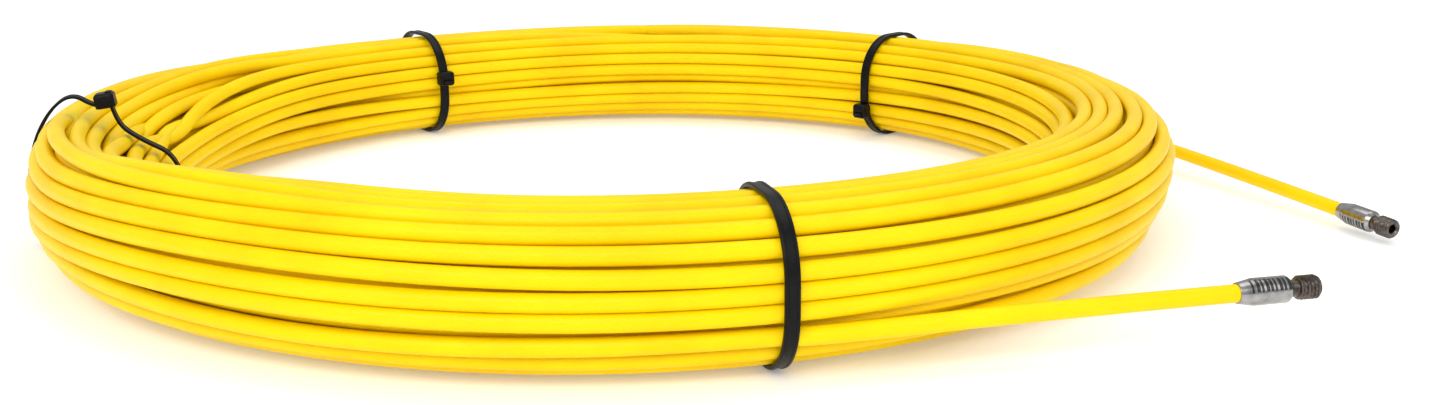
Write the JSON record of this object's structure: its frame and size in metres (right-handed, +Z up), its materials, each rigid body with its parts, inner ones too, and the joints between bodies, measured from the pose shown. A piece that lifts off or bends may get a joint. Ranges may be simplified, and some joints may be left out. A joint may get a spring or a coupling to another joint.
{
  "type": "coiled fish tape",
  "caption": "Coil of springy yellow fish tape rod held by black cable ties, with a threaded steel fitting on each free end.",
  "frame": {"origin": "under the middle of the bounding box, on the surface that the coil lies on", "axes": "+Z up along the coil's axis; +X to the side on which both free ends stand out, the longest way across; +Y to the back"},
  "size_m": [0.4153, 0.3602, 0.0455],
  "materials": {
    "jacket": "satin extruded polypropylene, bright yellow",
    "core": "pultruded glass fibre and resin",
    "sleeve_steel": "turned and zinc plated, bright satin",
    "stud_steel": "turned, darker and uncoated",
    "tie_nylon": "black moulded nylon, semi gloss"
  },
  "bodies": {
    "coil": {"rod_coil": "jacket", "front_rod_lead": "jacket", "rear_rod_lead": "jacket", "tie_front": "tie_nylon", "tie_back_right": "tie_nylon", "tie_back_left": "tie_nylon"},
    "front_end": {"front_end_jacket": "jacket", "front_end_core": "core", "front_sleeve": "sleeve_steel", "front_threaded_stud": "stud_steel"},
    "rear_end": {"rear_end_jacket": "jacket", "rear_end_core": "core", "rear_sleeve": "sleeve_steel", "rear_threaded_stud": "stud_steel"},
    "slack_tie": {"tie_left_loose": "tie_nylon"},
    "catch_front": {"pawl_front": "tie_nylon"},
    "catch_back_right": {"pawl_back_right": "tie_nylon"},
    "catch_back_left": {"pawl_back_left": "tie_nylon"},
    "catch_left_loose": {"pawl_left_loose": "tie_nylon"}
  },
  "joints": [
    {"name": "front_end_flex", "type": "hinge", "parent": "coil", "child": "front_end", "pos_m": [0.05681, -0.16186, 0.0121], "axis": [0, 0, 1], "range_deg": [-15, 12], "stiffness_Nm_per_rad": 2.6},
    {"name": "rear_end_flex", "type": "hinge", "parent": "coil", "child": "rear_end", "pos_m": [0.14467, 0.09347, 0.00865], "axis": [0, 0, 1], "range_deg": [-10, 20], "stiffness_Nm_per_rad": 0.15},
    {"name": "slack_tie_slide", "type": "hinge", "parent": "coil", "child": "slack_tie", "pos_m": [-0.02966, -0.00215, 0.02], "axis": [0, 0, 1], "range_deg": [-15, 15]},
    {"name": "pawl_front_lift", "type": "hinge", "parent": "coil", "child": "catch_front", "pos_m": [0.01012, -0.13225, 0.01005], "axis": [0.9563, 0.2924, 0], "range_deg": [0, 10], "stiffness_Nm_per_rad": 0.01},
    {"name": "pawl_back_right_lift", "type": "hinge", "parent": "coil", "child": "catch_back_right", "pos_m": [0.05779, 0.10207, 0.01305], "axis": [-0.766, 0.6428, 0], "range_deg": [0, 10], "stiffness_Nm_per_rad": 0.01},
    {"name": "pawl_back_left_lift", "type": "hinge", "parent": "coil", "child": "catch_back_left", "pos_m": [-0.11154, 0.10651, 0.02555], "axis": [-0.7986, -0.6018, 0], "range_deg": [0, 10], "stiffness_Nm_per_rad": 0.01},
    {"name": "pawl_left_loose_lift", "type": "hinge", "parent": "slack_tie", "child": "catch_left_loose", "pos_m": [-0.17999, -0.04811, 0.04189], "axis": [0.2924, -0.9563, 0], "range_deg": [0, 10], "stiffness_Nm_per_rad": 0.01}
  ]
}
